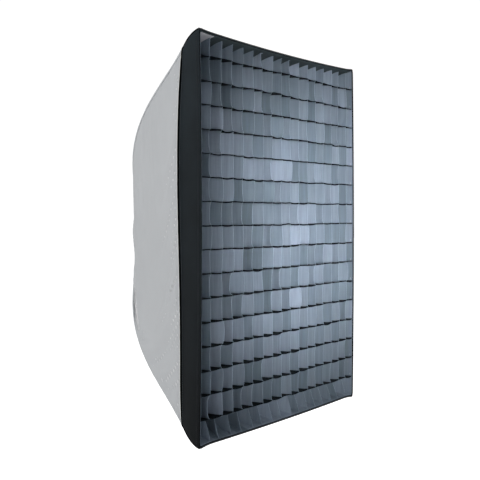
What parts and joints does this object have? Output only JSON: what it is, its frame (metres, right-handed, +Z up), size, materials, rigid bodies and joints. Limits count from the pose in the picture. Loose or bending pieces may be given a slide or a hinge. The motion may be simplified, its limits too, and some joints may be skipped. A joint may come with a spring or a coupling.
{
  "type": "rectangular softbox",
  "caption": "Deep rectangular fabric softbox on bent rods and a rotating speedring, with a black lip, front diffuser, inner baffle and a pull-off egg-crate grid.",
  "frame": {"origin": "centre of the bayonet insert's rear face, where the box meets the light", "axes": "+Y runs along the optical axis from the front to the light, +Z up with the long side upright, +X to the right for someone standing in front of the box and looking along +Y"},
  "size_m": [0.6, 0.5175, 0.9015],
  "materials": {
    "shell_fabric": "light grey coated nylon outside, silver reflective coating inside",
    "lip_fabric": "black woven nylon",
    "grid_fabric": "slate-black stiffened fabric strips with a slight sheen",
    "diffusion_fabric": "white translucent diffusion cloth",
    "hook_and_loop": "black loop tape",
    "elastic": "black woven elastic",
    "spring_steel": "drawn spring steel",
    "cast_alloy": "bead-blasted die-cast alloy",
    "bright_steel": "turned steel",
    "black_metal": "black powder coat",
    "black_plastic": "moulded black nylon"
  },
  "bodies": {
    "insert": {"bayonet_insert": "bright_steel"},
    "box": {"shell_panel_left": "shell_fabric", "lip_left": "lip_fabric", "shell_panel_right": "shell_fabric", "lip_right": "lip_fabric", "shell_panel_top": "shell_fabric", "lip_top": "lip_fabric", "shell_panel_bottom": "shell_fabric", "lip_bottom": "lip_fabric", "rear_collar": "shell_fabric", "loop_band": "hook_and_loop", "corner_pocket_top_left": "lip_fabric", "rod_top_left": "spring_steel", "rod_sleeve_front_top_left": "shell_fabric", "rod_sleeve_rear_top_left": "shell_fabric", "rod_tip_top_left": "black_plastic", "rod_socket_top_left": "cast_alloy", "socket_pin_top_left": "bright_steel", "baffle_strap_top_left": "elastic", "baffle_clip_top_left": "black_plastic", "corner_pocket_top_right": "lip_fabric", "rod_top_right": "spring_steel", "rod_sleeve_front_top_right": "shell_fabric", "rod_sleeve_rear_top_right": "shell_fabric", "rod_tip_top_right": "black_plastic", "rod_socket_top_right": "cast_alloy", "socket_pin_top_right": "bright_steel", "baffle_strap_top_right": "elastic", "baffle_clip_top_right": "black_plastic", "corner_pocket_bottom_left": "lip_fabric", "rod_bottom_left": "spring_steel", "rod_sleeve_front_bottom_left": "shell_fabric", "rod_sleeve_rear_bottom_left": "shell_fabric", "rod_tip_bottom_left": "black_plastic", "rod_socket_bottom_left": "cast_alloy", "socket_pin_bottom_left": "bright_steel", "baffle_strap_bottom_left": "elastic", "baffle_clip_bottom_left": "black_plastic", "corner_pocket_bottom_right": "lip_fabric", "rod_bottom_right": "spring_steel", "rod_sleeve_front_bottom_right": "shell_fabric", "rod_sleeve_rear_bottom_right": "shell_fabric", "rod_tip_bottom_right": "black_plastic", "rod_socket_bottom_right": "cast_alloy", "socket_pin_bottom_right": "bright_steel", "baffle_strap_bottom_right": "elastic", "baffle_clip_bottom_right": "black_plastic", "speedring_body": "cast_alloy", "retaining_ring": "black_metal", "retaining_screw_1": "bright_steel", "retaining_screw_2": "bright_steel", "retaining_screw_3": "bright_steel", "retaining_screw_4": "bright_steel", "inner_baffle": "diffusion_fabric"},
    "lock_knob": {"lock_knob": "black_plastic"},
    "diffuser": {"front_diffuser": "diffusion_fabric"},
    "grid": {"grid_border": "lip_fabric", "grid_lattice": "grid_fabric"}
  },
  "joints": [
    {"name": "box_rotation", "type": "hinge", "parent": "insert", "child": "box", "pos_m": [0, 0, 0], "axis": [0, 1, 0], "continuous": true},
    {"name": "lock_knob_turn", "type": "hinge", "parent": "box", "child": "lock_knob", "pos_m": [0.085, -0.0095, 0], "axis": [1, 0, 0], "range_deg": [0, 360]},
    {"name": "grid_pull_off", "type": "slide", "parent": "box", "child": "grid", "axis": [0, -1, 0], "range_m": [0, 0.16]},
    {"name": "diffuser_pull_off", "type": "slide", "parent": "box", "child": "diffuser", "axis": [0, -1, 0], "range_m": [0, 0.08]}
  ],
  "couplings": [
    {"joint": "diffuser_pull_off", "follows": "grid_pull_off", "ratio": 0.5}
  ]
}
